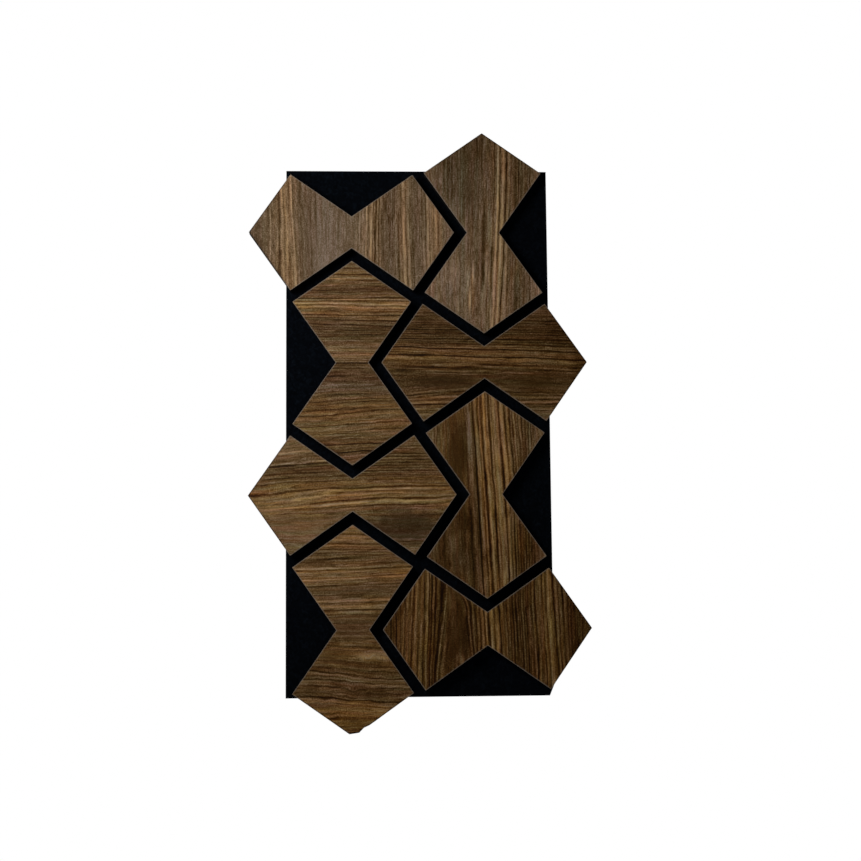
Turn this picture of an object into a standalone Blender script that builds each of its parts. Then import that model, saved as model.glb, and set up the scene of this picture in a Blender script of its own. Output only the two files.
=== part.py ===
"""Acoustic wall panel: bow-tie tiles of walnut-veneered board, glued to a black felt backing.

Metres, +Z up. The panel hangs upright with its front towards -Y. The origin is the middle of the felt's
back, which lies against the wall.
"""

import math

import bmesh
import bpy
from mathutils import Vector

# The tiles stand on a square grid. They lie and stand by turns, so that each point fills a notch.
TILE_PITCH = 0.150
COLUMNS = ("left", "right")
ROWS = 4

# Layers, from the wall outwards
FELT_THICKNESS = 0.009
BOARD_THICKNESS = 0.0114
VENEER_THICKNESS = 0.0006
GLUE_GAP = 0.0003

# Outline of a tile, which is a bow-tie along its own X axis, with four square outer corners
TILE_LENGTH = 0.2336
WAIST_WIDTH = 0.0371
POINT_ANGLE = math.radians(110)
CORNER_RADIUS = 0.0006
ARC_STEPS = 3

# The lowest point is knocked off, further along one side than along the other. A shallow chip, deepest in
# its middle, carries on from the longer side of the break. Its middle and end are measured from the point.
KNOCKED_TILE = (ROWS, "left")
KNOCKED_SIDES = (0.0052, 0.0078)
CHIP_MIDDLE = 0.0154
CHIP_END = 0.0220
CHIP_DEPTH = 0.0013

# The felt covers the grid squares, and its lower right corner is cut off aslant
FELT_WIDTH = TILE_PITCH * len(COLUMNS)
FELT_HEIGHT = TILE_PITCH * ROWS
CUT_CORNER_WIDTH = 0.005
CUT_CORNER_HEIGHT = 0.012

# How far each sharp rim is eased, and with how many faces
FELT_RIM = 0.0008
BOARD_RIM = 0.0005
VENEER_RIM = 0.00025
RIM_SEGMENTS = 2

OUT = Vector((0, -1, 0))


def clear_scene():
    for old in list(bpy.data.objects):
        bpy.data.objects.remove(old, do_unlink=True)


def material(name, color, roughness):
    """A plain finish that isn't metal. The colour is linear."""
    made = bpy.data.materials.new(name)
    made.use_nodes = True
    shader = made.node_tree.nodes["Principled BSDF"]
    shader.inputs["Base Color"].default_value = (*color, 1)
    shader.inputs["Roughness"].default_value = roughness
    shader.inputs["Metallic"].default_value = 0
    return made


def tile_corners():
    """The eight corners of the bow-tie, in order round its outline, starting with the +X point."""
    point = Vector((TILE_LENGTH / 2, 0, 0))
    notch = Vector((0, 0, WAIST_WIDTH / 2))
    # A side of the notch runs straight to a square corner, where the side from the point meets it.
    along = Vector((math.sin(POINT_ANGLE / 2), 0, math.cos(POINT_ANGLE / 2)))
    corner = notch + along * (point - notch).dot(along)
    mirrored = Vector((-corner.x, 0, corner.z))
    half = [point, corner, notch, mirrored]
    return half + [-other for other in half]


def knock_off_point(corners):
    """The same outline with its +X point cut off, as two new corners in place of the first, and chipped."""
    point = corners[0]
    ends = []
    for neighbour, distance in zip((corners[-1], corners[1]), KNOCKED_SIDES):
        ends.append(point + (neighbour - point).normalized() * distance)
    along = (corners[1] - point).normalized()
    inward = Vector((-along.z, 0, along.x))
    chip = [point + along * CHIP_MIDDLE + inward * CHIP_DEPTH, point + along * CHIP_END]
    return ends + chip + corners[1:]


def rounded_corner(before, corner, after, radius):
    """Points of the arc that rounds a corner, tangent to the sides on both its hands."""
    to_before = (before - corner).normalized()
    to_after = (after - corner).normalized()
    half_angle = to_before.angle(to_after) / 2
    centre = corner + (to_before + to_after).normalized() * radius / math.sin(half_angle)
    tangent_length = radius / math.tan(half_angle)
    start = (corner + to_before * tangent_length - centre).normalized()
    end = (corner + to_after * tangent_length - centre).normalized()
    return [centre + start.slerp(end, step / ARC_STEPS) * radius for step in range(ARC_STEPS + 1)]


def rounded_outline(corners, radius):
    points = []
    for place, corner in enumerate(corners):
        before = corners[place - 1]
        after = corners[(place + 1) % len(corners)]
        points += rounded_corner(before, corner, after, radius)
    return points


def slab(name, outline, thickness, eased_faces):
    """A flat slab in the XZ plane that rises from y = 0 towards the front.

    The rims of its "front" face, of its "back" face or of both are marked, for the bevel to ease.
    """
    bm = bmesh.new()
    back = bm.faces.new([bm.verts.new(point) for point in outline])
    extruded = bmesh.ops.extrude_face_region(bm, geom=[back], use_keep_orig=True)
    front = next(made for made in extruded["geom"] if isinstance(made, bmesh.types.BMFace))
    bmesh.ops.translate(bm, verts=front.verts, vec=OUT * thickness)
    bmesh.ops.recalc_face_normals(bm, faces=bm.faces)
    weight = bm.edges.layers.float.new("bevel_weight_edge")
    faces = {"front": front, "back": back}
    for eased in eased_faces:
        for edge in faces[eased].edges:
            edge[weight] = 1
    mesh = bpy.data.meshes.new(name)
    bm.to_mesh(mesh)
    bm.free()
    return mesh


def add_piece(name, mesh, finish, rim, parent, distance_out):
    """One solid of the panel, its back at the given distance in front of the wall."""
    piece = bpy.data.objects.new(name, mesh)
    bpy.context.scene.collection.objects.link(piece)
    if not mesh.materials:
        mesh.materials.append(finish)
    piece.parent = parent
    piece.location = OUT * distance_out
    bevel = piece.modifiers.new("eased rim", "BEVEL")
    bevel.limit_method = "WEIGHT"
    bevel.width = rim
    bevel.segments = RIM_SEGMENTS
    return piece


def add_empty(name, parent=None):
    empty = bpy.data.objects.new(name, None)
    bpy.context.scene.collection.objects.link(empty)
    empty.parent = parent
    return empty


def felt_corners():
    """The felt's corners, with two in place of the one that is cut off."""
    right = FELT_WIDTH / 2
    top = FELT_HEIGHT / 2
    return [
        Vector((right, 0, top)),
        Vector((-right, 0, top)),
        Vector((-right, 0, -top)),
        Vector((right - CUT_CORNER_WIDTH, 0, -top)),
        Vector((right, 0, -top + CUT_CORNER_HEIGHT)),
    ]


def add_felt(panel):
    felt = material("black felt", (0.0030, 0.0034, 0.0042), 0.95)
    mesh = slab("felt", felt_corners(), FELT_THICKNESS, ("front", "back"))
    add_piece("felt_backing", mesh, felt, FELT_RIM, panel, 0)


def lies_flat(row, column):
    """True for a tile that lies on its side, with its points to the left and right."""
    return (row + column) % 2 == 0


def tile_meshes():
    """The board and the veneer of a whole tile, then those of the tile that lost a point."""
    whole = rounded_outline(tile_corners(), CORNER_RADIUS)
    knocked = rounded_outline(knock_off_point(tile_corners()), CORNER_RADIUS)
    pairs = []
    for kind, outline in (("whole", whole), ("knocked", knocked)):
        board = slab(f"board {kind}", outline, BOARD_THICKNESS, ("back",))
        veneer = slab(f"veneer {kind}", outline, VENEER_THICKNESS, ("front",))
        pairs.append((board, veneer))
    return pairs


def add_tiles(panel):
    board_finish = material("black board", (0.0040, 0.0038, 0.0036), 0.70)
    veneer_finish = material("walnut veneer", (0.085, 0.050, 0.024), 0.55)
    whole_pair, knocked_pair = tile_meshes()
    board_out = FELT_THICKNESS + GLUE_GAP
    veneer_out = board_out + BOARD_THICKNESS + GLUE_GAP
    for row in range(ROWS):
        for column, side in enumerate(COLUMNS):
            tile = add_empty(f"tile_row{row + 1}_{side}", panel)
            tile.location.x = (column - (len(COLUMNS) - 1) / 2) * TILE_PITCH
            tile.location.z = ((ROWS - 1) / 2 - row) * TILE_PITCH
            if not lies_flat(row, column):
                # A quarter turn brings the tile's +X point to the bottom.
                tile.rotation_euler.y = math.radians(90)
            knocked = (row + 1, side) == KNOCKED_TILE
            board, veneer = knocked_pair if knocked else whole_pair
            add_piece(f"board_row{row + 1}_{side}", board, board_finish, BOARD_RIM, tile, board_out)
            add_piece(f"veneer_row{row + 1}_{side}", veneer, veneer_finish, VENEER_RIM, tile, veneer_out)


def main():
    clear_scene()
    panel = add_empty("acoustic_panel")
    add_felt(panel)
    add_tiles(panel)


main()
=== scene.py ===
"""Looks of the acoustic wall panel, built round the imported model.

Metres, +Z up, the panel's front towards -Y. The veneers are cut finely and carry the figure of the wood
as attributes, in millimetres from the middle of their tile. "Across" runs across the grain: to the right
on an upright grain, up on a level one. "Along" runs with the grain: up, or to the right.
"""

import math

import bmesh
import bpy
import numpy as np
from mathutils import Euler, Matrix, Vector


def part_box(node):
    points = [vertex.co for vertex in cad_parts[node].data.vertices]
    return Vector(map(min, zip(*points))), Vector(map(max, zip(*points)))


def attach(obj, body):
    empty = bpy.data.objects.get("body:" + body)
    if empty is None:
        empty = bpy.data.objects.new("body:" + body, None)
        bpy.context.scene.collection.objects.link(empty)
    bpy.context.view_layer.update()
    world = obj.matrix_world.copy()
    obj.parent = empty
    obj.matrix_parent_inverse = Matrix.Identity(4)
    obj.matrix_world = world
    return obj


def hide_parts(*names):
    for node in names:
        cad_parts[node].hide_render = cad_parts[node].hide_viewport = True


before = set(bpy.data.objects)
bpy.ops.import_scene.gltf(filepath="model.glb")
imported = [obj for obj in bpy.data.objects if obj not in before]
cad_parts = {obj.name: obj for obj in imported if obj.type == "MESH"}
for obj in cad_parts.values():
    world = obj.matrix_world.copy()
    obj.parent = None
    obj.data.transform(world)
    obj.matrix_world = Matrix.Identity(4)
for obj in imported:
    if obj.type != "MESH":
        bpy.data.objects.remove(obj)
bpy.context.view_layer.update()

MM = 0.001

# The square grid that the tiles stand on, and half the width and height of the felt behind it
PITCH = 0.150
COLUMNS = ("left", "right")
ROWS = 4
HALF_WIDTH = PITCH * len(COLUMNS) / 2
HALF_HEIGHT = PITCH * ROWS / 2

# In millimetres: how finely a veneer's face is cut, how deep its open grain and its unevenness go, and how
# wide the rim is over which both fade out
STEP_ACROSS = 0.45
STEP_ALONG = 1.4
GRAIN_DEPTH = 0.07
FACE_DEPTH = 0.05
VENEER_FADE = 0.8

# The same for the felt's front
FELT_STEP = 2.0
FELT_RIPPLE = 0.35
FELT_FADE = 3.0

# How far apart the veneers lie in the noise of their material, and what the attribute of a rim's dark outer
# edge says where there is none
GRAIN_SHIFT = 37
NO_RIM = 9

# In metres: what counts as one point, as on the cutting plane, and as the front face
WELD_DISTANCE = 1e-6
PLANE_DISTANCE = 1e-7
FRONT_DISTANCE = 5e-6

# A face with a normal below this in y faces the front. Faces that meet below the flat angle are merged, and
# an edge above the sharp angle is shown sharp.
FRONT_NORMAL_Y = -0.999
FLAT_ANGLE = math.radians(0.5)
SHARP_ANGLE = math.radians(35)

# Lights, in metres and watts, and the world's light as a share of the white that the camera sees
KEY_LIGHT = dict(place=(-.52, -.60, .33), towards=(-.14, 0, .08), size=.40, power=5.9)
BACK_FILL = dict(place=(.35, 1.4, -.1), towards=(0, 0, .12), size=.5, power=9, spread=50)
AMBIENT = 0.03

# The camera, at the photo's viewing angle, in metres, degrees and millimetres, and the floor, in metres
CAMERA_PLACE = (-.0669, -1.7323, -.1848)
CAMERA_TURN = (96.07, .490, -2.622)
CAMERA_LENS = 63.88
SENSOR_WIDTH = 36
FLOOR_RADIUS = 3.2
FLOOR_LEVEL = -1.25

# The colours of the veneers' rims, linear: a painted pale edge highlight, and a dark edge on a rim that hangs
# out beyond the felt
PAINTED_RIM_HIGHLIGHT = (.190, .160, .130, 1)
DARK_OUTER_EDGE = (.010, .007, .005, 1)


# ---------------------------------------------------------------- noise

def value_noise(x, y, seed):
    """Smooth noise from -1 to 1 with one value for each whole step of x and y."""
    table = np.random.RandomState(seed).uniform(-1, 1, (256, 256))
    x0 = np.floor(x).astype(int)
    y0 = np.floor(y).astype(int)
    tx = x - x0
    ty = y - y0
    tx = tx * tx * (3 - 2 * tx)
    ty = ty * ty * (3 - 2 * ty)

    def at(i, j):
        return table[i & 255, j & 255]

    low = at(x0, y0) * (1 - tx) + at(x0 + 1, y0) * tx
    high = at(x0, y0 + 1) * (1 - tx) + at(x0 + 1, y0 + 1) * tx
    return low * (1 - ty) + high * ty


def smooth_through(x, points):
    """A smooth curve through (x, value) points, level beyond its ends."""
    xs = np.array([p[0] for p in points], float)
    ys = np.array([p[1] for p in points], float)
    order = np.argsort(xs)
    xs, ys = xs[order], ys[order]
    if len(xs) == 1:
        return np.full_like(x, ys[0])
    slopes = np.gradient(ys, xs)
    x = np.clip(x, xs[0], xs[-1])
    k = np.clip(np.searchsorted(xs, x) - 1, 0, len(xs) - 2)
    width = xs[k + 1] - xs[k]
    t = (x - xs[k]) / width
    return (
        (1 + 2 * t) * (1 - t) ** 2 * ys[k]
        + t * (1 - t) ** 2 * width * slopes[k]
        + t * t * (3 - 2 * t) * ys[k + 1]
        + t * t * (t - 1) * width * slopes[k + 1]
    )


# ---------------------------------------------------------------- figure of each veneer

# A veneer's figure:
#   grain    "up" or "level"
#   guides   how growth lines run: (name of the line, its place across the grain at points along it)
#   bands    broad bands with the grain: (middle, tone from -1 dark to 1 pale, hue from -1 grey to 1 orange)
#   lines    growth lines: (place, half width, tone, and where some of them start and end along the grain)
#   patches  oval spots: (across, along, radius across, radius along, tone, hue, calm, wave). Tone and hue are
#            added to what is there. Calm is how far lines and stripes fade, wave how much they waver.
#   slip     how far the whole figure is shifted across the grain
#   stripes  strength of the fine stripes
#   speckle  strength of the short dashes
#   shade    tone added all over
#   warmth   from -1, the greyest, to 1, the warmest; the top row's strong greying is a painted sheen
#   motley   how much the hue changes from one fine stripe to the next
#   contrast strength of the bands, lines and patches
FIGURES = {
    "row1_left": dict(
        # The strong greying warmth of this top-row veneer is a painted sheen
        grain="up", slip=-0.1, stripes=0.21, speckle=0.16, shade=0.08, warmth_and_sheen=-1.0, motley=0.6,
        contrast=0.88,
        guides=[
            (-100, [(0, -100)]),
            (-82, [(47, -83.3), (2, -81.8), (-28, -82), (-65, -82)]),
            (-67, [(62, -70), (42, -69.3), (4, -67), (-25, -65), (-65, -63.2)]),
            (-30, [(0, -30)]),
            (27, [(36, 28), (2, 27), (-26, 26)]),
            (60, [(52, 59), (0, 60), (-58, 61.6)]),
            (100, [(0, 100)]),
        ],
        bands=[(-107, -.4, -.8), (-90, -.2, .2), (-70, .1, .9), (-56, -.2, -.6), (-35, 0, -1.2),
               (-20, 0, -1.1), (-5, -.1, -.8), (12, .1, 0), (24, 0, .8), (45, -.2, -.8), (60, .1, .8),
               (74, -.1, -.6), (86, .2, .4), (98, .15, .9), (112, -.1, -.3)],
        lines=[(-108, .8, -.2), (-92.5, .7, .3), (-89, 1.6, .05), (-82, 1.5, -.85), (-78.6, 1.0, .12),
               (-76.5, .6, -.2), (-74, .8, .15), (-71, .6, -.25), (-67, 1.1, .5), (-64.6, .7, -.25),
               (-62.2, .8, .2), (-71.8, 1.0, -.45, -66, -20), (-58, 1.4, -.2), (-40.5, 1.2, -.4, 14, 50),
               (-46, .8, -.2), (-21, .7, -.15), (-12, .7, -.12), (7, .6, -.25), (10.8, .6, -.3),
               (13.6, .9, .3), (16.8, 1.0, .5), (19.2, .5, -.35), (22, 1.1, .5), (24.2, .5, -.3),
               (27, 1.1, -.85), (29.4, .6, .25), (30.6, .5, -.3), (33, 1.0, .3), (36.2, .7, -.35),
               (41.5, .8, -.15), (45.2, .9, .3), (48.4, .6, -.2), (50.5, .7, .2), (53.4, .9, -.45),
               (59.2, 1.3, .5), (62.3, .6, -.45), (65, 1.0, .35), (70, 1.2, -.2), (80.5, .8, -.25),
               (84.6, .7, -.35), (87.5, 1.1, .4), (90.6, .6, .2), (93.6, .6, -.4), (96.6, .9, .35),
               (99.4, .6, -.35), (102.2, .7, .2), (105.5, .8, -.25)],
        patches=[(0, 60, 130, 42, -.08, 0, 0, 0), (-34, 0, 30, 80, 0, -.2, .5, 0)],
    ),
    "row1_right": dict(
        # The strong greying warmth of this top-row veneer is a painted sheen
        grain="up", slip=2.2, stripes=0.2, speckle=0.17, shade=0.12, warmth_and_sheen=-0.75, motley=1.2,
        contrast=0.95,
        guides=[
            (-45, [(0, -45)]),
            (-.8, [(110, 2.0), (27, .2), (2, -.8), (-47, -2.8), (-110, -6)]),
            (13.2, [(97, 16.9), (72, 16.3), (42, 15.3), (22, 14.3), (2, 13.2), (-18, 12.2), (-38, 11.2),
                    (-58, 9.8), (-78, 8.7), (-105, 6.7)]),
            (23.5, [(97, 27), (72, 26), (42, 24.9), (17, 23.5), (-20, 21.2), (-60, 18.8), (-100, 15.7)]),
            (38.5, [(85, 40.6), (45, 39), (-60, 34.5), (-90, 33.4)]),
            (60, [(0, 60)]),
        ],
        bands=[(-60, 0, -.2), (-40, -.1, -.5), (-20, -.1, -.4), (2, 0, -.1), (18, .2, .7), (34, -.2, 0),
               (46, -.2, -.4), (62, .2, 0)],
        lines=[(-61, .8, .2), (-52, .8, -.25), (-46, 1.0, -.4, 52, 98), (-42, .7, -.25),
               (-37.5, .8, -.5, 34, 92), (-33, .8, .15), (-28, .7, -.2), (-10.4, .9, -.4, 72, 120),
               (-4.6, .8, -.4, 70, 120), (-12.4, 1.0, .9, -60, -38), (-18.4, .9, .7, -68, -50),
               (-15.6, 1.2, 1.0, -88, -68), (-1, .8, .5, 44, 64), (-1, 2.2, -.8, -60, 30),
               (-6.5, 2.0, -.3, -100, -40), (2.2, 1.2, .12), (5.2, .6, -.35, -120, -35), (9.2, .8, -.45),
               (13.2, 1.2, .75), (16.1, .6, -.45), (19.4, 1.3, .5), (21.6, .5, -.2), (23.5, .9, -.9),
               (26.6, 1.1, .3), (29.6, .7, -.5, -120, -20), (34.4, .6, -.25), (38.5, .7, -.65, 32, 120),
               (42.5, .7, -.35), (46.8, .7, -.4), (52, .7, -.35), (57, .9, .2), (61, .8, .3)],
        patches=[(-26, 62, 30, 50, 0, -1.3, .2, 0), (-30, -60, 24, 34, .2, 0, 0, 0),
                 (-15, -70, 6, 24, 0, .9, 0, 0), (0, 75, 80, 55, -.2, 0, 0, 0),
                 (-50, -20, 16, 50, .08, 0, 0, 0), (36, -46, 8, 13, .05, .7, 0, 0),
                 (-42, -66, 5, 10, .0, -.7, 0, 0), (60, 0, 14, 90, .05, .2, 0, 0),
                 (0, 98, 26, 20, -.22, 0, 0, 0)],
    ),
    "row2_left": dict(
        grain="level", slip=-1.0, stripes=0.24, speckle=0.13, shade=-0.08, warmth_and_sheen=-0.15, motley=1.5,
        contrast=0.9,
        guides=[
            (110, [(0, 110)]),
            (74.8, [(-55, 74), (0, 74.8), (45, 75.5)]),
            (68.2, [(-60, 68.8), (-20, 69.2), (2, 68.2), (50, 67.2)]),
            (55, [(-50, 56), (-20, 55.2), (10, 54.6), (60, 55.2)]),
            (43.5, [(-47, 45.2), (-20, 44.2), (0, 43.5), (20, 42.7), (50, 42)]),
            (24, [(0, 24)]),
            (.4, [(0, .4)]),
            (-15, [(0, -15)]),
            (-38, [(-35, -41), (0, -38), (30, -37.5)]),
            (-56, [(-57, -60.5), (-22, -58.8), (-2, -56.2), (23, -54.2), (45, -53)]),
            (-69, [(-45, -72.6), (-2, -69.2), (33, -67), (50, -65.6)]),
            (-91.5, [(-28, -93), (0, -91.8), (35, -90.5)]),
            (-100, [(-13, -101.6), (0, -100.6), (12, -99)]),
        ],
        bands=[(-112, 0, -.5), (-97, -.2, 0), (-82, 0, .3), (-62, .1, .5), (-40, -.1, .4),
               (-27, .1, -1.7), (-16, -.3, -1.2), (-3, -.1, -.6), (14, .2, .2), (28, 0, -.6),
               (42, -.3, -1), (55, 0, .4), (70, .2, .6), (84, -.2, -.8), (100, .1, .6), (114, 0, -.5)],
        lines=[(109.6, .6, -.4), (106, 1.1, .2), (101.8, .8, -.9), (98, 1.4, .25),
               (94.6, .7, -.55, -6, 45), (92, .5, -.3), (88, .5, -.2), (86, .5, -.3), (84, .7, -.5),
               (81.8, .6, -.4), (79, 1.0, -.1), (74.8, .8, -.65), (73, .6, .45), (71.4, .6, -.5),
               (68.2, 1.1, .6), (66, .5, -.4, 10, 70), (64.4, 1.0, .35), (62.4, .5, -.2), (59, .6, -.3),
               (55, .8, -.75), (51.4, 1.1, .4, 10, 62), (49, .9, -.8, -18, 70), (46, .9, .15),
               (43.5, .7, -.65), (40.6, .5, -.35), (38, .7, -.5, -42, 2), (38.4, .5, -.4, 12, 52),
               (35.6, .5, -.3), (33, .5, -.3), (30.2, .5, -.3), (27.4, .5, -.3), (24.4, .6, -.5),
               (20, 1.1, .12), (17.5, .5, -.15), (15, .8, .35), (11, .5, -.4), (7.2, 1.0, .15),
               (5, .5, -.35), (3, .5, -.25), (.2, .8, -.9), (-5.6, .8, -.6), (-9.5, 1.2, .1),
               (-14.4, 1.0, -.6, -34, 0), (-17.4, 1.0, -.5, 0, 32), (-24, .8, .15), (-31.8, .6, -.35),
               (-35, .7, -.45, -30, 12), (-38, .8, .15), (-40.6, .6, -.45), (-43.8, .6, -.35),
               (-49, .8, .5, 0, 28), (-50.5, .6, -.25, -60, -5), (-53.2, .8, .15), (-56, .9, -.75),
               (-60, 1.1, .18), (-63.5, .5, -.2), (-66, .5, -.4, -4, 50), (-69.2, .8, -.65),
               (-72.6, .9, .12), (-76.2, .7, -.7, 2, 52), (-78.6, .6, -.4, -48, -2), (-81, .9, .2),
               (-83.4, .5, -.3), (-87, .6, -.25), (-91.5, .8, -.85), (-96, .9, .08), (-100, .9, -.9),
               (-104.4, .9, .25), (-108, .6, -.3)],
        patches=[(-55, 0, 45, 60, 0, 0, 0, .5), (-20, 0, 10, 40, 0, -.3, 0, .5)],
    ),
    "row2_right": dict(
        grain="level", slip=-1.1, stripes=0.23, speckle=0.13, shade=-0.22, warmth_and_sheen=-0.2, motley=1.2,
        contrast=0.85,
        guides=[
            (46, [(-75, 47), (60, 45.4)]),
            (27, [(-80, 28), (0, 27.3), (60, 26.6), (90, 25.5)]),
            (15.5, [(-90, 18.9), (-60, 17.4), (-20, 15.9), (30, 15.3), (60, 14.3), (85, 12.8), (105, 11.6)]),
            (7, [(-105, 10.7), (-80, 9.7), (-50, 9.1), (-30, 8.3), (0, 7.2), (20, 6.7), (50, 6.2), (80, 4.7),
                 (105, 3.2)]),
            (-4, [(-110, -3.2), (-75, -3.7), (-30, -4.4), (0, -4), (30, -5.6), (60, -6.6), (100, -8)]),
            (-12, [(-110, -9), (-60, -11), (0, -13), (60, -14.5), (100, -15)]),
            (-32, [(-88, -35), (-62, -32), (-40, -29.6), (-20, -29), (40, -30.6), (90, -31.6)]),
            (-50, [(0, -50)]),
        ],
        bands=[(-62, .2, -.3), (-42, .1, .2), (-22, -.2, -.4), (-8, -.1, .1), (5, 0, .8), (18, -.1, .4),
               (36, -.3, -.5), (58, 0, -.5)],
        lines=[(57.4, .5, -.25), (53.2, .5, -.35), (51, .5, .1), (48.8, .6, -.45), (45.8, .6, -.45),
               (43, .5, -.45), (40.6, .5, -.4), (37.8, .7, -.6), (35.2, .5, -.4), (33, .6, -.5),
               (30.2, .5, -.4), (27.2, .8, -.8), (24.3, .6, -.5), (21.6, .6, -.55), (19.4, .6, .35),
               (17.4, .7, .4), (15.4, .8, -.8), (13, 1.0, .2), (11, .8, .3), (9.6, .5, -.45, -112, -35),
               (7, .9, -1.0), (4, 1.6, .4), (1.6, .5, -.1), (0, 1.0, .15), (-1.2, 1.1, -.65, -8, 62),
               (-3.4, .8, .4, 4, 100), (-4.6, 1.2, -.8, -88, -8), (-6.2, .8, -.65, -38, 18),
               (-5.8, .9, -.75, 56, 112), (-9, 1.2, .4, -68, -22), (-9.4, .9, .35, 12, 64),
               (-12.2, .6, .4, -62, 4), (-32, .9, .55, -84, -18), (-34.6, .8, -.5), (-37, .7, -.35),
               (-39.6, .8, .35), (-42.4, .9, -.5), (-45, .7, .3), (-47.4, .9, -.65), (-50, .6, -.5),
               (-52.4, .8, .25), (-54.6, .6, -.5), (-58, .9, .3), (-61, .5, -.3)],
        patches=[(-21, -50, 8, 38, -.28, -1.9, .75, 0), (-22, 57, 8, 26, -.26, -.35, .75, .3),
                 (24, 30, 9, 20, 0, .5, 0, 0), (-9, -93, 3, 12, -.35, -.5, 0, 0),
                 (-48, -66, 12, 16, .05, .4, 0, .2), (0, 112, 30, 14, -.3, 0, 0, 0),
                 (30, -60, 22, 34, 0, -.3, 0, 0), (32, 88, 20, 16, -.2, 0, 0, 0),
                 (0, 84, 14, 16, -.14, 0, 0, 0), (-22, -86, 3, 8, .15, .3, 0, 0),
                 (6, 35, 10, 60, 0, 0, 0, .25)],
    ),
    "row3_left": dict(
        grain="level", slip=-0.8, stripes=0.22, speckle=0.14, shade=-0.05, warmth_and_sheen=0.1, motley=1.6,
        contrast=0.95,
        guides=[
            (50, [(-75, 48.5), (-45, 51), (60, 52)]),
            (36, [(-90, 32.2), (-70, 34.4), (-50, 36), (-30, 37), (20, 37.6), (60, 38.6), (95, 38)]),
            (26.5, [(-95, 23.6), (-60, 25.4), (-35, 26.6), (20, 27.4), (60, 28.2), (95, 27.6)]),
            (17, [(-103, 11.8), (-80, 14.6), (-40, 16.2), (0, 17.3), (40, 18.3), (90, 17.8)]),
            (8.7, [(-107, 0), (-90, 1.7), (-70, 4.8), (-45, 7.3), (-20, 8.3), (0, 8.8), (20, 9.3), (45, 10.3),
                   (80, 10.8), (105, 10.8)]),
            (-4.8, [(-95, -13), (-60, -9.8), (-40, -8.4), (-25, -6.4), (0, -4.8), (20, -3.4), (40, -2.4),
                    (65, -2.9), (95, -2.4), (110, -.6)]),
            (-16, [(-95, -21), (-75, -19.6), (-35, -18.8), (0, -15.4), (15, -14.6), (60, -14), (95, -13)]),
            (-50, [(0, -50)]),
        ],
        bands=[(-60, .1, -.6), (-35, 0, -.4), (-20, 0, 0), (-12, .2, .4), (3, .2, .6), (12, .1, .6),
               (22, 0, -.1), (38, 0, -.5), (58, .1, -.4)],
        lines=[(49.6, 1.0, .5, -88, -38), (46.6, .9, -.2), (43.6, .8, -.1), (38.4, .9, .5, -95, -18),
               (35.9, 1.0, -1.0, -98, -20), (33, .7, -.3, -98, -22), (26.5, .9, -.65, -98, -20),
               (29.6, .6, -.3, -98, -20), (22, .6, -.35, -98, -10), (56.5, .5, -.3, 30, 110),
               (53.8, .6, -.5, 15, 110), (51, .5, -.45, 15, 110), (48, .5, -.45, 15, 110),
               (45, .6, -.55, 15, 110), (41.8, .8, -.75, 10, 110), (38.2, .6, -.55, 10, 110),
               (35, .6, -.5, 5, 110), (32, .5, -.45, 0, 110), (29.4, .6, -.5, 0, 110),
               (26.8, .6, -.5, 0, 110), (24.2, .5, -.4, -5, 110), (21.6, .6, -.5, -5, 110),
               (19.4, .5, -.3, -10, 110), (17, .8, -.5), (13.4, 1.4, .12), (8.7, 1.0, -.75),
               (6, 1.2, .2, -70, 110), (3.6, .6, -.12, -80, 60), (1.4, 1.2, .2, -80, 80), (-1.8, .8, -.2),
               (-4.8, 1.2, -.7, -48, 116), (-8.2, 1.3, .4, -104, 100), (-10.4, .6, -.25, -60, 10),
               (-12.5, .8, -.55, -22, 96), (-14.8, .6, -.3, 0, 96), (-16.4, .7, -.45, -84, -24),
               (-20, 1.0, .12), (-24, .8, -.3, 25, 100), (-41.6, .9, .3, -84, -50),
               (-46.4, .9, .35, -80, -45), (-52.4, .6, -.35, -90, -30), (-57, .8, .3, -90, -30),
               (-49, 1.0, .4, 40, 100), (-52, .6, -.5, 46, 100), (-54.6, .6, -.35, 46, 100)],
        patches=[(25, -66, 9, 44, -.2, -.5, .2, 0), (1, -18, 9, 62, .08, .1, 0, .3),
                 (-36, 60, 17, 41, -.46, -3.8, .9, .4), (-36, -56, 18, 36, .2, .3, .6, 1.2),
                 (-4.5, -61, 1.8, 6, .5, .1, 0, 0), (2.4, -28, 1.8, 6, .4, .1, 0, 0),
                 (8, 28, 1.3, 6, .45, .1, 0, 0), (8.4, 61, 1.3, 7, .4, .1, 0, 0),
                 (-26, 26, 3, 5, .25, 0, 0, .6), (34, 62, 26, 42, -.12, 0, 0, 0)],
    ),
    "row3_right": dict(
        grain="up", slip=0.6, stripes=0.24, speckle=0.12, shade=-0.12, warmth_and_sheen=0.12, motley=1.4,
        contrast=1.0,
        guides=[
            (-50, [(0, -50)]),
            (-15, [(95, -20.8), (73, -18.8), (48, -17.6), (18, -16), (-2, -14.6), (-27, -12.6), (-60, -11),
                   (-100, -9)]),
            (-9.5, [(100, -15.8), (78, -14.2), (53, -12.2), (28, -10.6), (-2, -9.5), (-27, -8.5), (-52, -7.5),
                    (-77, -6.5), (-107, -4.6)]),
            (.5, [(95, -5.7), (73, -4.5), (43, -3), (23, -1.5), (-2, .5), (-27, 2), (-52, 3), (-82, 4.2),
                  (-107, 5.6)]),
            (8.3, [(105, 2.4), (83, 3.6), (53, 5.5), (28, 6.6), (3, 8.3), (-22, 10), (-52, 11.2), (-82, 12.6),
                   (-104, 13.7)]),
            (20.3, [(95, 13.6), (73, 15.6), (48, 17.6), (23, 19.1), (3, 20.3), (-22, 22), (-47, 23.2),
                    (-77, 24.2)]),
            (31, [(85, 25.8), (68, 27.8), (43, 29.8), (28, 31), (-22, 31), (-52, 31.2), (-72, 31.8)]),
            (50, [(70, 49), (-70, 51.5)]),
        ],
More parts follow.
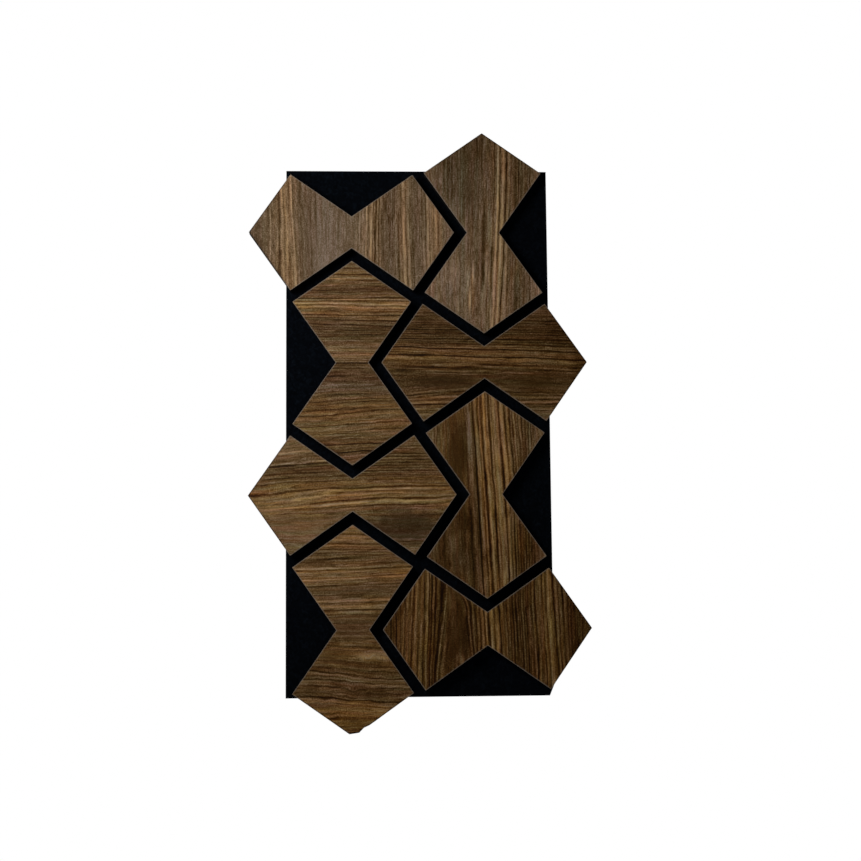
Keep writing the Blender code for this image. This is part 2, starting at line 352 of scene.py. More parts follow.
        bands=[(-64, 0, -.9), (-48, -.1, 0), (-22, -.2, .1), (-14, -.2, -.6), (-5, 0, .7), (12, .2, .7),
               (28, .1, .5), (40, -.1, -.3), (52, 0, -1), (63, .2, -.4)],
        lines=[(-60, 1.0, .15), (-19.4, .8, -.25), (-15.4, 2.0, .22), (-15, 2.0, .12, 30, 110),
               (-12, .6, -.15), (-9.5, 1.1, -1.0), (-6, 1.3, .35), (-3.4, .6, -.3), (-1.8, .7, .2),
               (.5, 1.2, -.8), (3.5, 1.2, .45), (5.6, .5, -.05), (8.3, 1.1, -.85), (10.6, .6, .2),
               (12.2, .5, -.1), (14.6, 2.2, .45), (17.6, .6, .1), (20.3, 1.1, -.8), (23.4, 1.4, .35),
               (26.4, .7, -.35), (28.6, .7, .2), (31, .8, -.65), (33.8, .6, -.45), (35.4, .5, .1),
               (37, .6, -.5), (40, .6, -.45), (43, .6, -.5), (46, .6, -.45), (49, .6, -.45),
               (52, .6, -.4), (55.4, .6, -.25), (-48, 1.4, -.45, -92, -36), (-20.5, 2.2, -.4, -104, -12),
               (-25, 1.0, .12, -80, -40), (-30, .8, -.15, -90, -20), (-24, .8, -.2, 20, 100)],
        patches=[(-32, 47, 12, 33, -.34, -.7, .95, 0), (-37, -58, 22, 34, -.05, -.9, .35, 1.2),
                 (-60, -60, 13, 28, -.2, .4, 0, 0), (50, 48, 22, 42, .05, 0, 0, 0),
                 (0, -62, 90, 48, -.08, -.2, 0, 0), (0, 62, 90, 48, .08, 0, 0, 0),
                 (-26, -32, 8, 11, -.25, -.7, .6, 0), (-38, -57, 5, 11, .3, -.3, .2, 0),
                 (-28, -72, 4, 8, .12, -.2, .2, 0), (-26, -76, 12, 14, 0, -1.1, 0, 0),
                 (-6, -58, 5, 24, -.18, 0, 0, 0), (-58, -66, 4, 8, .1, -.4, 0, 0),
                 (42, -62, 14, 24, -.14, .9, 0, 0), (-19.5, 62, 2.6, 36, .2, -1.3, .3, 0)],
    ),
    "row4_left": dict(
        grain="level", slip=-1.4, stripes=0.26, speckle=0.13, shade=-0.01, warmth_and_sheen=0.1, motley=1.4,
        contrast=0.8,
        guides=[
            (97, [(-22, 97.4), (0, 97), (20, 96)]),
            (80.5, [(-45, 79.5), (-10, 80.5), (40, 81.6)]),
            (71.5, [(-45, 69), (0, 70.6), (30, 71.6), (55, 73)]),
            (58, [(-55, 56), (-25, 57.2), (0, 58.2), (25, 59.2), (55, 60.4)]),
            (51, [(-45, 49.5), (-20, 50.5), (10, 51.2), (45, 52.4)]),
            (34, [(-35, 33), (0, 33.6), (35, 35.2)]),
            (23, [(-28, 22.6), (0, 23.5), (20, 23.6)]),
            (0, [(0, 0)]),
            (-30, [(-40, -28), (0, -30), (40, -34)]),
            (-47.5, [(-50, -42), (-28, -44.6), (-10, -47.6), (5, -50), (20, -51.6), (45, -52.8)]),
            (-55.5, [(-50, -51.8), (-20, -53.8), (0, -55.6), (20, -56.8), (45, -57.8)]),
            (-75, [(-50, -71), (-25, -72.7), (5, -75.8), (25, -77.8), (50, -79)]),
            (-95, [(0, -95)]),
        ],
        bands=[(-110, 0, .4), (-96, 0, .8), (-83, .2, .4), (-69, -.2, -.4), (-56, 0, -.2), (-43, -.2, 0),
               (-25, 0, .4), (-10, 0, 0), (6, -.2, -.6), (19, 0, 0), (29, .2, .4), (46, -.1, -.6),
               (60, .2, .6), (71, .1, .4), (82, -.2, -.4), (97, .1, .4), (110, .2, .5)],
        lines=[(110, .9, .15), (106.5, .5, -.2), (104, .9, .2), (101.4, 1.1, .35), (97, .9, -.85),
               (94.4, .8, .2), (90.5, .8, -.65), (88.4, .5, .1), (86.6, .5, -.3), (84.4, .5, -.3),
               (82.4, .6, .1), (80.5, .9, -.55, -54, 4), (77.6, .5, -.25), (74.9, .8, -.6, -10, 62),
               (73.2, .5, -.2, -62, -8), (71.5, .7, .55), (69.3, .6, -.5), (66.6, 1.3, .22),
               (63.2, .5, -.35), (60.6, .5, -.4, 18, 62), (58.2, .8, .8), (55.2, .9, .05),
               (53.6, .5, -.2), (51, .8, -.8), (47.2, .5, -.15), (44.4, .5, -.2), (41, .6, -.4),
               (38, .8, -.15), (34.3, .9, .55), (31.6, .7, -.65), (29.8, .5, -.4, -18, 28),
               (27.3, 1.2, .45), (23.2, .9, -.65), (20.5, .8, .35), (18, .5, -.25), (15.6, .5, -.25),
               (12.6, .5, -.25), (9, .5, -.25), (5, .5, -.25), (2, .5, -.15), (-.4, .6, -.35),
               (-3, .6, -.3), (-5.6, .6, .12), (-8, .7, -.2), (-12, .8, -.25), (-16.6, 1.2, -.35),
               (-20.5, .8, .1), (-35.4, 1.4, -.35), (-39, .8, .1), (-41.6, .9, -.2),
               (-44, .7, -.5, 2, 28), (-47.5, .9, -.8), (-49.8, .8, .45, -42, 8), (-52.4, .6, -.35),
               (-55.5, .9, -.65), (-57.6, .6, .2), (-60, .6, -.3), (-62.4, .7, -.5), (-66, .5, -.25),
               (-69.6, .8, .45, -24, 8), (-72, .5, -.2), (-75.2, 1.1, -.95), (-78.8, .9, .55, -24, 18),
               (-81.6, .8, -.55, 6, 52), (-84, .6, -.15), (-86.4, .9, .12), (-90, .8, -.55, -36, -8),
               (-95, 1.7, -.5), (-99.4, .6, -.15), (-104, .8, -.2)],
        patches=[(-90, 4, 18, 34, 0, .8, 0, 0), (8, 0, 13, 30, 0, -.3, .4, 0),
                 (46, 5, 4, 44, 0, -.3, .4, 0), (-27, 24, 5, 19, .75, -.1, .3, 2.0),
                 (-22, -26, 9, 18, -.14, 0, 0, 0), (-68, 14, 6, 24, -.38, -.2, .4, 2.2),
                 (-62, -44, 6, 10, -.25, -.5, .2, .6), (-62, 0, 46, 70, 0, 0, 0, .9),
                 (-28, -20, 8, 15, -.05, .3, .6, 0), (69, 54, 7, 9, .03, .4, 0, 0),
                 (-87, 32, 5, 10, .25, .1, 0, 0), (-108, 4, 8, 12, -.15, .2, 0, .8),
                 (-111.4, 2, 1.5, 6, -1.2, -.5, .5, 0), (-107.6, 11, 1.3, 5, -.9, -.5, .3, 0)],
    ),
    "row4_right": dict(
        grain="up", slip=1.4, stripes=0.26, speckle=0.12, shade=-0.28, warmth_and_sheen=0.3, motley=1.4,
        contrast=0.85,
        guides=[
            (-105, [(0, -105)]),
            (-84.5, [(47, -83), (17, -84.6), (-13, -86.2), (-40, -87.2)]),
            (-69, [(50, -67.6), (-13, -69.6), (-47, -71.2)]),
            (-60.5, [(50, -58.6), (-3, -60.8), (-47, -63.8)]),
            (-54, [(48, -51.8), (17, -54), (-23, -57.8), (-47, -60.8)]),
            (-51.2, [(42, -46.2), (17, -49.4), (-3, -52.4), (-23, -55.4), (-47, -58.6)]),
            (-22, [(45, -36.4), (32, -26.4), (7, -22.6), (-13, -20.6), (-33, -18)]),
            (-9.5, [(30, -10.4), (-20, -9)]),
            (0, [(20, -.7), (-3, .3), (-18, 1.4)]),
            (12.2, [(25, 11.3), (-17, 13.6)]),
            (53, [(30, 51.5), (-10, 53.5), (-40, 54.7)]),
            (74.5, [(50, 71.5), (17, 73.6), (-13, 75.6), (-43, 77.8)]),
            (102, [(0, 102)]),
        ],
        bands=[(-110, -.3, -.1), (-98, -.1, .1), (-80, .1, .5), (-68, 0, .4), (-57, -.4, 0),
               (-38, -.2, -.3), (-22, -.2, -.3), (0, .2, .7), (10, .2, .6), (24, -.1, 0), (38, -.2, -.6),
               (54, 0, .3), (70, .2, .7), (82, 0, .1), (96, -.3, -.4), (112, -.2, -.3)],
        lines=[(-109.4, .7, -.5), (-106.4, .7, -.5), (-103.4, .7, -.6), (-100.6, .8, .15),
               (-98.2, .6, -.55), (-95.4, .9, .25), (-93.2, .6, -.45), (-90.6, 1.1, .2), (-88, .5, -.25),
               (-84.5, 1.0, -.7), (-81.2, 1.2, .4), (-78.2, .6, -.5), (-75.2, 1.1, .25),
               (-72.2, .7, -.55), (-69, 1.0, .55), (-67.2, .5, -.4), (-64.6, .9, -.8), (-62.5, .6, .25),
               (-60.4, .8, -.75), (-57.6, .9, .25), (-54.2, 1.5, -.6), (-51.2, .9, .6), (-47.4, 3.0, .32),
               (-44.4, .8, -.2), (-24, 1.2, -.5), (-22, .6, .5), (-19.6, 1.0, -.75), (-16.9, .7, .35),
               (-14.3, .7, -.6), (-11.8, .8, .4), (-9.5, .7, -.7), (-6.9, .9, .4), (-4.8, .5, -.6),
               (-2.7, .8, .45), (0, .9, -.95), (3, 1.3, .6), (5.8, .5, -.4), (8.6, 1.3, .55),
               (12.2, .9, -.95), (15, .9, .2), (17.6, .6, -.55), (19.1, .5, .1), (20.6, .6, -.55),
               (22.4, .5, .1), (24.1, .6, -.55), (27.6, .7, -.65), (29.2, .5, .15), (31, .9, -.55),
               (33, .5, .1), (34.6, .5, -.4), (36.9, .8, -.65), (38.8, .5, .2), (40.4, .5, -.45),
               (42.8, .7, -.65), (46.4, .7, .35), (49, .7, -.6), (51, .5, .15), (53, .9, -.8),
               (55.7, .9, .3), (58.6, .9, .15), (61.6, .7, -.6), (63.8, .6, .2), (65.7, .5, -.5),
               (69.2, 2.0, .6), (71.4, .5, .1), (74.5, 1.0, -.9), (77, .7, .35), (79, .5, -.55),
               (81.1, .7, .15), (83.6, .8, -.75), (86.2, .7, .1), (88.7, .7, -.6), (92.2, .8, -.5),
               (94.4, .5, .1), (96.4, .7, -.35), (99.4, .7, -.45), (102.8, .8, .35, -32, 10),
               (107, .7, -.3)],
        patches=[(-36, -12, 12, 28, -.1, -1.1, .7, .9), (-26, -6, 5, 18, -.3, -1.3, .3, 0),
                 (-43, 30, 4, 11, .28, -.1, .3, 0), (-33, -33, 5, 6, .38, .3, .2, 0),
                 (-33, 18, 3.4, 10, -.25, .4, .2, .6), (-36, 44, 5, 4, .3, 0, 0, 0)],
    ),
}


# What a hue of 1, a hue of -1, a warmth of 1 and a redness of 1 add to red, green and blue, as shares of
# them.
# A warmth below 0 greys, and the top row's strong greying is a painted sheen
ORANGE = np.array([.08, -.02, -.27])
GREY = np.array([-.03, .02, .21])
WARM_AND_SHEEN = np.array([.02, -.07, -.36])
REDDISH = np.array([.035, -.04, -.02])

# How much growth lines waver everywhere, from which wave on they waver strongly, and over how many
# millimetres a line that ends fades out
BASE_WAVE = 0.8
STRONG_WAVE = 0.9
LINE_END = 4


def growth_place(figure, across, along):
    """Which growth line a point lies on: the place across the grain that the line has in the middle."""
    guides = sorted(figure["guides"])
    names = [name for name, _ in guides]
    places = [smooth_through(along, path) for _, path in guides]
    place = across - places[0] + names[0]
    for k in range(len(guides) - 1):
        share = (across - places[k]) / (places[k + 1] - places[k])
        between = names[k] + share * (names[k + 1] - names[k])
        place = np.where(share >= 0, between, place)
    return np.where(across > places[-1], across - places[-1] + names[-1], place)


def soft_spot(across, along, spot, seed):
    """1 in the middle of an oval spot, 0 outside, with an uneven soft edge."""
    ragged = 1 + 0.25 * value_noise(across / 5, along / 9, seed)
    r = np.hypot((across - spot[0]) / spot[2], (along - spot[1]) / spot[3]) * ragged
    return np.exp(-r ** 4)


def thin_line(distance):
    """The profile of a growth line: strong in the middle, with a faint opposite flank on each side."""
    return np.exp(-distance ** 2) - 0.28 * np.exp(-((np.abs(distance) - 1.9) / 0.8) ** 2)


def threads(place, along, seed):
    """Thin lines that run with the grain, merge and part: 1 on a line and 0 between."""
    return np.exp(-(value_noise(place, along, seed) / 0.17) ** 2)


def patches_at(figure, across, along, seed):
    """What the oval spots of a figure add up to: tone, hue, calm and wave."""
    tone = np.zeros_like(across)
    hue = np.zeros_like(across)
    calm = np.zeros_like(across)
    wave = np.full_like(across, BASE_WAVE)
    for k, spot in enumerate(figure["patches"]):
        share = soft_spot(across, along, spot, seed + k)
        tone += spot[4] * share
        hue += spot[5] * share
        calm = np.maximum(calm, spot[6] * share)
        wave += spot[7] * share
    return tone, hue, calm, wave


def wavering_place(figure, across, along, wave, seed):
    """The growth place, with the small bends of real wood."""
    place = growth_place(figure, across, along)
    place += 0.40 * wave * value_noise(across / 9 + 7, along / 30, seed + 31)
    place += 0.34 * wave * value_noise(across / 4, along / 10, seed + 32)
    place += 0.17 * wave * value_noise(across / 1.8, along / 4.5, seed + 34)
    strong = np.maximum(wave - STRONG_WAVE, 0)
    return place + 0.9 * strong * value_noise(across / 6, along / 8, seed + 33)


def growth_lines(figure, place, along, seed):
    """The tone of all growth lines. Each one changes in width and strength along its way."""
    lines = np.zeros_like(place)
    for k, line in enumerate(figure["lines"]):
        where, half_width, strength = line[:3]
        width = half_width * (1 + 0.35 * value_noise(np.full_like(place, 3.7 * k), along / 15, seed + 41))
        one = (0.95 if strength < 0 else 1.1) * strength * thin_line((place - where) / width)
        unevenness = 0.6 - 0.4 * abs(strength)
        one *= 1 + unevenness * value_noise(np.full_like(place, 5.3 * k), along / 10, seed + 42)
        if len(line) > 3:
            start, end = line[3:]
            one /= (1 + np.exp((start - along) / LINE_END)) * (1 + np.exp((along - end) / LINE_END))
        lines += one
    return lines


def paint_figure(figure, across, along, seed):
    """Tone, tint, growth place, calmness and depth of the open grain at each point of a veneer."""
    across = across - figure["slip"]
    tone, hue, calm, wave = patches_at(figure, across, along, seed)
    place = wavering_place(figure, across, along, wave, seed)
    tone += smooth_through(place, [(middle, level) for middle, level, _ in figure["bands"]])
    hue += smooth_through(place, [(middle, orange) for middle, _, orange in figure["bands"]])
    lines = growth_lines(figure, place, along, seed) * (1 - 0.7 * calm)

    # Fine stripes and short dashes, in tone
    stripes = 0.6 * value_noise(place / 0.9, along / 24, seed + 51)
    stripes += 0.5 * value_noise(place / 1.9, along / 40, seed + 52)
    stripes += 0.35 - 1.3 * threads(place / 2.1, along / 45, seed + 55)
    stripes += 0.8 * threads(place / 2.6, along / 38, seed + 56) - 0.2
    dashes = 1.2 * value_noise(place / 1.0, along / 2.2, seed + 53)
    dashes += 0.8 * value_noise(place / 1.6, along / 6, seed + 54)
    tone = figure["shade"] + figure["contrast"] * (tone + lines)
    tone += figure["stripes"] * (1 - 0.75 * calm) * stripes
    tone += figure["speckle"] * (1 - 0.4 * calm) * dashes

    # The hue changes from stripe to stripe too. A veneer's warmth shows most in its dark parts: in the top
    # row this greying of the dark parts is a painted sheen
    redness = value_noise(place / 1.8, along / 26, seed + 57) + value_noise(place / 5, along / 60, seed + 58)
    redness *= figure["motley"]
    hue += 0.6 * figure["motley"] * value_noise(place / 1.3, along / 18, seed + 59)
    # A painted sheen: the negative warmth of the top row greys its dark parts most
    warmth_and_sheen = figure["warmth_and_sheen"] * (1.2 - 0.9 * np.clip(tone, -0.7, 0.7))
    tint = 1 + np.outer(np.maximum(hue, 0), ORANGE) + np.outer(np.maximum(-hue, 0), GREY)
    tint += np.outer(warmth_and_sheen, WARM_AND_SHEEN) + np.outer(redness, REDDISH)

    depth = np.clip(-lines - 0.2 * stripes, 0, 1)
    return tone, tint, place, calm, depth


# ---------------------------------------------------------------- fine meshes

def cut_by_planes(bm, faces, normal, places):
    """Cuts the faces by parallel planes, and returns all the faces that this makes."""
    done = []
    ahead = list(faces)
    for place in places:
        geometry = set(ahead)
        for face in ahead:
            geometry.update(face.edges)
            geometry.update(face.verts)
        cut = bmesh.ops.bisect_plane(
            bm, geom=list(geometry), dist=PLANE_DISTANCE, plane_co=normal * place, plane_no=normal)
        made = [part for part in cut["geom"] if isinstance(part, bmesh.types.BMFace)]
        ahead = []
        for face in made:
            beyond = face.calc_center_median().dot(normal) > place
            (ahead if beyond else done).append(face)
    return done + ahead


def steps(low, high, step):
    """Places a step apart between low and high, half a step in from low."""
    return np.arange(low + step / 2, high, step)


def fine_copy(node_name, piece_name, steps_x, steps_z):
    """A copy of a CAD node with its front face cut into a fine grid, and the corners of its outline."""
    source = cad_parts[node_name]
    bm = bmesh.new()
    bm.from_mesh(source.data)
    bmesh.ops.remove_doubles(bm, verts=bm.verts, dist=WELD_DISTANCE)
    bmesh.ops.dissolve_limit(bm, angle_limit=FLAT_ANGLE, verts=bm.verts, edges=bm.edges)
    bm.normal_update()
    front = [face for face in bm.faces if face.normal.y < FRONT_NORMAL_Y]
    largest = max(front, key=lambda face: face.calc_area())
    outline = [np.array([vert.co.x, vert.co.z]) for vert in largest.verts]
    low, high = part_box(node_name)
    faces = cut_by_planes(bm, front, Vector((0, 0, 1)), steps(low[2], high[2], steps_z))
    cut_by_planes(bm, faces, Vector((1, 0, 0)), steps(low[0], high[0], steps_x))
    mesh = bpy.data.meshes.new(piece_name)
    bm.to_mesh(mesh)
    bm.free()
    piece = bpy.data.objects.new(piece_name, mesh)
    bpy.context.scene.collection.objects.link(piece)
    return piece, outline


def points_of(mesh):
    """The points of a mesh, one in each row."""
    flat = np.empty(len(mesh.vertices) * 3)
    mesh.vertices.foreach_get("co", flat)
    return flat.reshape(-1, 3)


def on_front(points):
    return points[:, 1] < points[:, 1].min() + FRONT_DISTANCE


def distance_to_outline(x, z, outline):
    """How far each point lies from the nearest side of the outline."""
    nearest = np.full_like(x, np.inf)
    for a, b in zip(outline, outline[1:] + outline[:1]):
        side = b - a
        t = np.clip(((x - a[0]) * side[0] + (z - a[1]) * side[1]) / (side @ side), 0, 1)
        nearest = np.minimum(nearest, np.hypot(x - a[0] - t * side[0], z - a[1] - t * side[1]))
    return nearest


def add_attribute(mesh, name, values):
    kind = "FLOAT_VECTOR" if values.ndim == 2 else "FLOAT"
    field = "vector" if values.ndim == 2 else "value"
    layer = mesh.attributes.new(name, kind, "POINT")
    layer.data.foreach_set(field, values.astype(np.float32).ravel())


def shade_smoothly(mesh):
    mesh.shade_smooth()
    mesh.set_sharp_from_angle(angle=SHARP_ANGLE)


def add_veneer(row, column, finish):
    """The veneer of one tile. Rows are counted from 1, as in its name, and columns from 0."""
    tile = f"row{row}_{COLUMNS[column]}"
    seed = 100 * row + 50 * column
    figure = FIGURES[tile]
    upright = figure["grain"] == "up"
    step_x, step_z = (STEP_ACROSS, STEP_ALONG) if upright else (STEP_ALONG, STEP_ACROSS)
    node = f"veneer_{tile}"
    piece, outline = fine_copy(node, f"walnut_{tile}", step_x * MM, step_z * MM)
    points = points_of(piece.data)
    x = (points[:, 0] + HALF_WIDTH - (column + 0.5) * PITCH) / MM
    z = (points[:, 2] - HALF_HEIGHT + (row - 0.5) * PITCH) / MM
    across, along = (x, z) if upright else (z, x)
    tone, tint, place, calm, depth = paint_figure(figure, across, along, seed)
    rim = distance_to_outline(points[:, 0], points[:, 2], outline) / MM
    front = on_front(points)
    rim = np.where(front, rim, 0)
    hollow = GRAIN_DEPTH * depth + FACE_DEPTH * (0.5 + 0.5 * value_noise(x / 14, z / 14, seed + 61))
    points[:, 1] += np.where(front, hollow * np.clip(rim / VENEER_FADE, 0, 1), 0) * MM
    piece.data.vertices.foreach_set("co", points.ravel())
    add_attribute(piece.data, "tone", tone)
    add_attribute(piece.data, "tint", tint)
    # A rim over the felt gets a painted edge highlight. One that hangs out beyond it is painted dark along
    # its edge.
    outside = np.maximum(np.abs(points[:, 0]) - HALF_WIDTH, np.abs(points[:, 2]) - HALF_HEIGHT) / MM
    add_attribute(piece.data, "rim", rim + np.clip(outside, 0, 3))
    add_attribute(piece.data, "outer_rim", np.where(outside > 0, rim, NO_RIM))
    add_attribute(piece.data, "grain", np.column_stack([place + GRAIN_SHIFT * seed, along, calm]))
    shade_smoothly(piece.data)
    piece.data.materials.append(finish)
    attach(piece, "root")
    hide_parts(node)


def add_felt(finish):
    """The felt, its front pressed into shallow hollows."""
    piece, outline = fine_copy("felt_backing", "pressed_felt", FELT_STEP * MM, FELT_STEP * MM)
    points = points_of(piece.data)
    x = points[:, 0] / MM
    z = points[:, 2] / MM
    ripple = value_noise(x / 9, z / 9, 71) + 0.7 * value_noise(x / 4, z / 4, 72)
    hollow = FELT_RIPPLE * (0.5 + 0.3 * ripple)
    edge = distance_to_outline(points[:, 0], points[:, 2], outline) / MM
    points[:, 1] += np.where(on_front(points), hollow * np.clip(edge / FELT_FADE, 0, 1), 0) * MM
    piece.data.vertices.foreach_set("co", points.ravel())
    shade_smoothly(piece.data)
    piece.data.materials.append(finish)
    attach(piece, "root")
    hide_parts("felt_backing")


# ---------------------------------------------------------------- materials

class Nodes:
    """Short ways to add and join the nodes of one material."""

    def __init__(self, name):
        self.material = bpy.data.materials.new(name)
        self.material.use_nodes = True
        self.tree = self.material.node_tree
        self.shader = self.tree.nodes["Principled BSDF"]

    def join(self, value, socket):
        if isinstance(value, bpy.types.NodeSocket):
            self.tree.links.new(value, socket)
        else:
            socket.default_value = value

    def add(self, kind, inputs=(), **settings):
        node = self.tree.nodes.new(kind)
        for key, value in settings.items():
            setattr(node, key, value)
        for key, value in dict(inputs).items():
            self.join(value, node.inputs[key])
        return node

    def attribute(self, name, output="Fac"):
        return self.add("ShaderNodeAttribute", attribute_name=name).outputs[output]

    def maths(self, operation, *values):
        return self.add("ShaderNodeMath", dict(enumerate(values)), operation=operation).outputs[0]

    def total(self, *values):
        result = values[0]
        for value in values[1:]:
            result = self.maths("ADD", result, value)
        return result

    def weighted(self, *parts):
        """The sum of (value, weight) pairs."""
        return self.total(*[self.maths("MULTIPLY", value, weight) for value, weight in parts])

    def scaled(self, vector, by):
        return self.add("ShaderNodeVectorMath", {0: vector, 1: by}, operation="MULTIPLY").outputs[0]

    def noise(self, vector, scale=1.0, detail=2.0, roughness=0.5, distortion=0.0):
        inputs = {"Vector": vector, "Scale": scale, "Detail": detail, "Roughness": roughness,
                  "Distortion": distortion}
        return self.add("ShaderNodeTexNoise", inputs).outputs["Fac"]

    def remap(self, value, low, high, to_low, to_high):
        inputs = {"Value": value, "From Min": low, "From Max": high, "To Min": to_low, "To Max": to_high}
        return self.add("ShaderNodeMapRange", inputs).outputs["Result"]

    def spread(self, noise, low, high):
        """Noise, most of which lies from .3 to .7, brought to the range from low to high."""
        return self.remap(noise, .3, .7, low, high)

    def ramp(self, value, stops):
        node = self.add("ShaderNodeValToRGB", {"Fac": value})
        elements = node.color_ramp.elements
        while len(elements) < len(stops):
            elements.new(0.5)
        for element, (place, color) in zip(elements, stops):
            element.position = place
            element.color = (*color, 1)
        return node.outputs["Color"]

    def mix(self, share, first, second, blend="MIX"):
        node = self.add("ShaderNodeMix", {0: share}, data_type="RGBA", blend_type=blend)
        self.join(first, node.inputs[6])
        self.join(second, node.inputs[7])
        return node.outputs[2]

    def bump(self, height, strength, distance):
        inputs = {"Height": height, "Strength": strength, "Distance": distance}
        return self.add("ShaderNodeBump", inputs).outputs[0]

    def millimetres(self):
        place = self.add("ShaderNodeTexCoord").outputs["Object"]
        return self.scaled(place, (1 / MM, 1 / MM, 1 / MM))

    def finish(self, **sockets):
        for name, value in sockets.items():
            self.join(value, self.shader.inputs[name.replace("_", " ")])
        return self.material


def walnut_finish():
    """Satin walnut, from the figure that the veneers carry as attributes."""
    n = Nodes("walnut veneer")
    grain = n.attribute("grain", "Vector")
    calm = n.add("ShaderNodeSeparateXYZ", {0: grain}).outputs["Z"]
    flat = n.scaled(grain, (1, 1, 0))
    fibre = n.spread(n.noise(n.scaled(flat, (2.4, .07, 0)), detail=3, roughness=.6), -1, 1)
    speck = n.spread(n.noise(n.scaled(flat, (.85, .75, 0)), detail=2), -1, 1)
    pores = n.remap(n.noise(n.scaled(flat, (4.5, .3, 0)), detail=1), .62, .72, 0, 1)
    lively = n.maths("SUBTRACT", 1, n.maths("MULTIPLY", calm, .5))
    detail = n.weighted((fibre, .16), (speck, .36), (pores, -.30))
    tone = n.total(n.attribute("tone"), n.maths("MULTIPLY", detail, lively))
    wood = n.ramp(n.remap(tone, -1.25, 1.25, 0, 1), [
        (0.00, (.0088, .0028, .0001)),
        (0.15, (.0234, .0079, .0003)),
        (0.32, (.0582, .0254, .0045)),
        (0.50, (.1265, .0693, .0250)),
        (0.66, (.2245, .1385, .0690)),
        (0.82, (.3380, .2200, .1150)),
        (1.00, (.4360, .2960, .1680)),
    ])
    wood = n.mix(1.0, wood, n.attribute("tint", "Vector"), "MULTIPLY")

    # The rims, in millimetres from the edge: a painted edge highlight, and a dark outer edge
    ragged = n.spread(n.noise(n.scaled(flat, (.25, .25, 0)), detail=3), -.35, .35)
    # A painted edge highlight, palest right at the edge
    painted_highlight = n.remap(n.total(n.attribute("rim"), ragged), .15, .9, .62, 0)
    wood = n.mix(painted_highlight, wood, PAINTED_RIM_HIGHLIGHT)
    # A rim that hangs out beyond the felt is painted dark along its edge
    dark_edge = n.remap(n.attribute("outer_rim"), .3, 1.3, .7, 0)
    wood = n.mix(dark_edge, wood, DARK_OUTER_EDGE)

    sheen = n.spread(n.noise(n.scaled(flat, (.8, .1, 0)), detail=2), .44, .54)
    rough = n.total(sheen, n.maths("MULTIPLY", pores, .15))
    height = n.weighted((fibre, .35), (pores, -1), (speck, .2))
    return n.finish(
        Base_Color=wood, Roughness=rough, Normal=n.bump(height, .35, .00006), Specular_IOR_Level=.08)


def felt_finish():
    """Black pressed felt: soft tufts, with finer hairs on them."""
    n = Nodes("black felt")
    place = n.millimetres()
    tufts = n.noise(place, scale=.18, detail=3, roughness=.6, distortion=1.5)
    hairs = n.noise(place, scale=1.6, detail=4, roughness=.7, distortion=2.5)
    color = n.ramp(n.remap(n.weighted((tufts, .5), (hairs, .5)), .38, .64, 0, 1), [
        (0.0, (.0002, .0005, .0010)),
        (0.5, (.0007, .0013, .0026)),
        (1.0, (.0036, .0060, .0094)),
    ])
    return n.finish(Base_Color=color, Roughness=.95, Specular_IOR_Level=.04, Normal=n.bump(hairs, .8, .0006))


def board_finish():
    """Black fibreboard, with the faint layers of its sawn edge."""
    n = Nodes("black board")
    place = n.millimetres()
    layers = n.noise(n.scaled(place, (.12, 2.2, .12)), detail=3, roughness=.6)
    fibres = n.noise(place, scale=1.6, detail=4, roughness=.7)
    share = n.weighted((layers, .5), (fibres, .5))
    color = n.ramp(n.remap(share, .35, .65, 0, 1), [
        (0.0, (.0012, .0011, .0012)),
        (1.0, (.0075, .0068, .0062)),
    ])
    return n.finish(
        Base_Color=color, Roughness=n.spread(fibres, .6, .8), Specular_IOR_Level=.07,
        Normal=n.bump(share, .5, .0003))


# ---------------------------------------------------------------- stage, light and camera

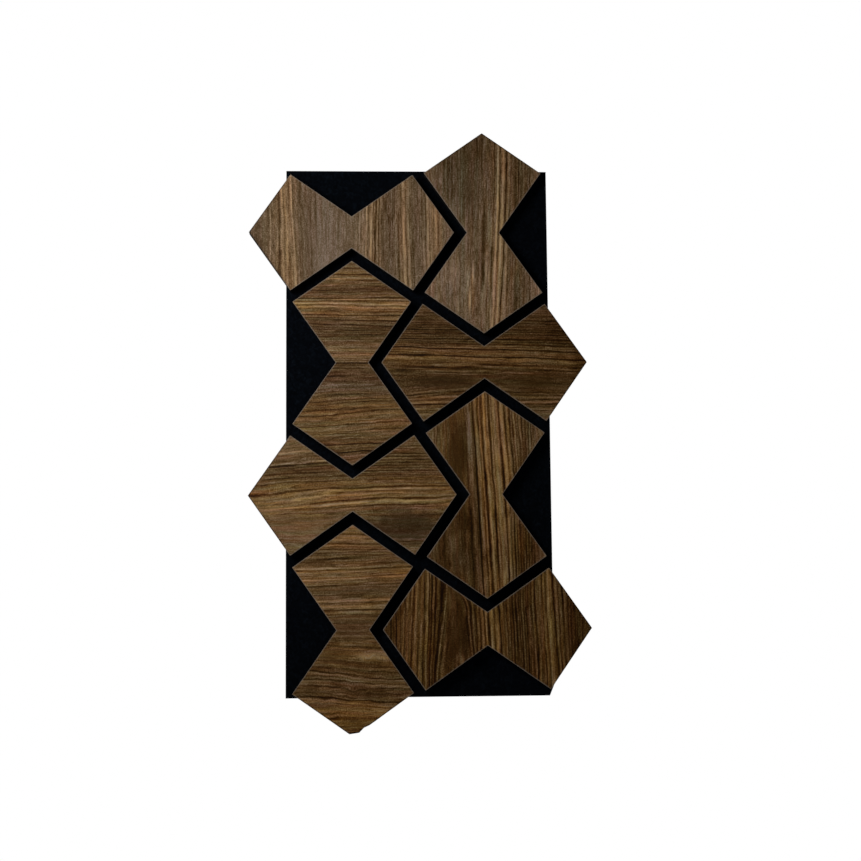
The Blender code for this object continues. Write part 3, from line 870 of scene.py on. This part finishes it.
def add_floor():
    bpy.ops.mesh.primitive_circle_add(
        vertices=96, radius=FLOOR_RADIUS, fill_type="NGON", location=(0, 0, FLOOR_LEVEL))
    floor = bpy.context.object
    floor.name = "floor"
    floor.visible_glossy = False
    n = Nodes("pale floor")
    color = n.ramp(n.noise(n.millimetres(), scale=.004, detail=3), [
        (.3, (.80, .79, .77)),
        (.7, (.86, .85, .83)),
    ])
    floor.data.materials.append(
        n.finish(Base_Color=color, Roughness=.8, Emission_Color=color, Emission_Strength=.55))


def add_light(name, place, towards, size, power, spread=180):
    light = bpy.data.lights.new(name, "AREA")
    light.shape = "DISK"
    light.size = size
    light.spread = math.radians(spread)
    light.energy = power
    lamp = bpy.data.objects.new(name, light)
    lamp.location = place
    lamp.rotation_euler = (Vector(towards) - Vector(place)).to_track_quat("-Z", "Y").to_euler()
    lamp.visible_camera = False
    bpy.context.scene.collection.objects.link(lamp)


def add_world():
    """White to the camera, and a faint even light on the object."""
    world = bpy.data.worlds.new("studio")
    world.use_nodes = True
    bpy.context.scene.world = world
    tree = world.node_tree
    background = tree.nodes["Background"]
    background.inputs["Color"].default_value = (1, 1, 1, 1)
    path = tree.nodes.new("ShaderNodeLightPath")
    strength = tree.nodes.new("ShaderNodeMapRange")
    strength.inputs["To Min"].default_value = AMBIENT
    strength.inputs["To Max"].default_value = 1.0
    tree.links.new(path.outputs["Is Camera Ray"], strength.inputs["Value"])
    tree.links.new(strength.outputs["Result"], background.inputs["Strength"])


def add_camera():
    camera = bpy.data.objects.new("camera", bpy.data.cameras.new("camera"))
    camera.data.lens = CAMERA_LENS
    camera.data.sensor_width = SENSOR_WIDTH
    camera.location = CAMERA_PLACE
    camera.rotation_euler = Euler([math.radians(angle) for angle in CAMERA_TURN])
    bpy.context.scene.collection.objects.link(camera)
    bpy.context.scene.camera = camera


def main():
    walnut = walnut_finish()
    for row in range(1, ROWS + 1):
        for column in range(len(COLUMNS)):
            add_veneer(row, column, walnut)
    board = board_finish()
    for name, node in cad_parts.items():
        if name.startswith("board_"):
            node.data.materials.clear()
            node.data.materials.append(board)
    add_felt(felt_finish())
    add_floor()
    add_light("key", **KEY_LIGHT)
    add_light("back_fill", **BACK_FILL)
    add_world()
    add_camera()
    bpy.context.scene.view_settings.view_transform = "Standard"


main()
